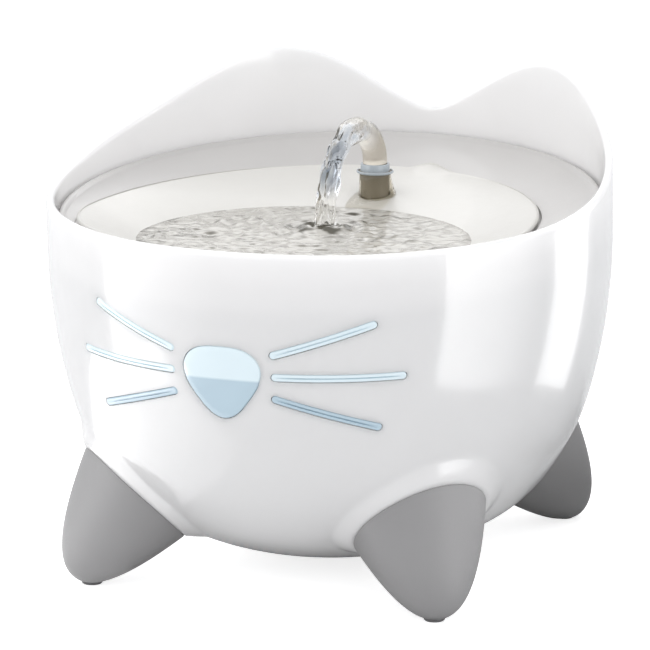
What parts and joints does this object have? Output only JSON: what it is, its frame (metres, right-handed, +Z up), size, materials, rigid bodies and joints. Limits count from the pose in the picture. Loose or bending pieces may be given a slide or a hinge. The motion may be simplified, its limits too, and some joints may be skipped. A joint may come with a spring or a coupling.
{
  "type": "pet water fountain",
  "caption": "Bowl-shaped pet water fountain on short feet, with eared rim, wall windows, tray, dish, spout, pump and filter.",
  "frame": {"origin": "centre of the outline on the ground under the feet", "axes": "+Z up, -Y toward the windowed face, +Y toward the ears, +X to the right seen from the face"},
  "size_m": [0.2478, 0.2776, 0.2109],
  "materials": {
    "shell_plastic": "glossy off-white",
    "window_plastic": "glossy pale blue, clear",
    "foot_plastic": "satin grey",
    "pad_rubber": "matte dark grey",
    "tray_plastic": "satin light grey",
    "dish_plastic": "glossy warm white",
    "spout_plastic": "satin silver grey",
    "hose_rubber": "soft translucent grey",
    "pump_plastic": "satin dark grey",
    "white_plastic": "satin white",
    "steel": "bright steel",
    "cup_rubber": "matte black",
    "basket_plastic": "satin pale grey",
    "foam": "open-pored dark foam",
    "lead_rubber": "matte black",
    "water": "clear water"
  },
  "bodies": {
    "bowl": {"bowl_shell": "shell_plastic", "nose_window": "window_plastic", "whisker_window_right_upper": "window_plastic", "whisker_window_right_middle": "window_plastic", "whisker_window_right_lower": "window_plastic", "whisker_window_left_upper": "window_plastic", "whisker_window_left_middle": "window_plastic", "whisker_window_left_lower": "window_plastic", "foot_front_right": "foot_plastic", "foot_front_left": "foot_plastic", "foot_rear_right": "foot_plastic", "foot_rear_left": "foot_plastic", "foot_pad_front_right": "pad_rubber", "foot_pad_front_left": "pad_rubber", "foot_pad_rear_right": "pad_rubber", "foot_pad_rear_left": "pad_rubber", "foot_screw_front_right": "steel", "foot_screw_front_left": "steel", "foot_screw_rear_right": "steel", "foot_screw_rear_left": "steel", "riser_tube": "hose_rubber", "pump_body": "pump_plastic", "pump_cover": "pump_plastic", "impeller_shaft": "steel", "pump_cup_1": "cup_rubber", "pump_cup_2": "cup_rubber", "pump_cup_3": "cup_rubber", "pump_cup_4": "cup_rubber", "power_socket": "pump_plastic", "socket_nut": "white_plastic", "pump_lead": "lead_rubber", "lead_clip": "pump_plastic"},
    "tray": {"tray_ring": "tray_plastic"},
    "dish": {"drinking_dish": "dish_plastic", "water_pool": "water"},
    "spout": {"spout_nozzle": "spout_plastic", "water_stream": "water"},
    "filter": {"filter_holder": "basket_plastic", "filter_pad": "foam"},
    "rotor": {"impeller": "white_plastic"},
    "slider": {"flow_slider": "white_plastic"}
  },
  "joints": [
    {"name": "tray_lift", "type": "slide", "parent": "bowl", "child": "tray", "axis": [0, 0, 1], "range_m": [0, 0.06]},
    {"name": "dish_lift", "type": "slide", "parent": "tray", "child": "dish", "axis": [0, 0, 1], "range_m": [0, 0.06]},
    {"name": "spout_pull", "type": "slide", "parent": "dish", "child": "spout", "axis": [0, 0, 1], "range_m": [0, 0.045]},
    {"name": "filter_pull", "type": "slide", "parent": "dish", "child": "filter", "axis": [0, 0, -1], "range_m": [0, 0.02]},
    {"name": "impeller_spin", "type": "hinge", "parent": "bowl", "child": "rotor", "pos_m": [0, 0.035, 0.05], "axis": [0, 1, 0], "continuous": true},
    {"name": "flow_slide", "type": "slide", "parent": "bowl", "child": "slider", "axis": [1, 0, 0], "range_m": [0, 0.003]}
  ]
}
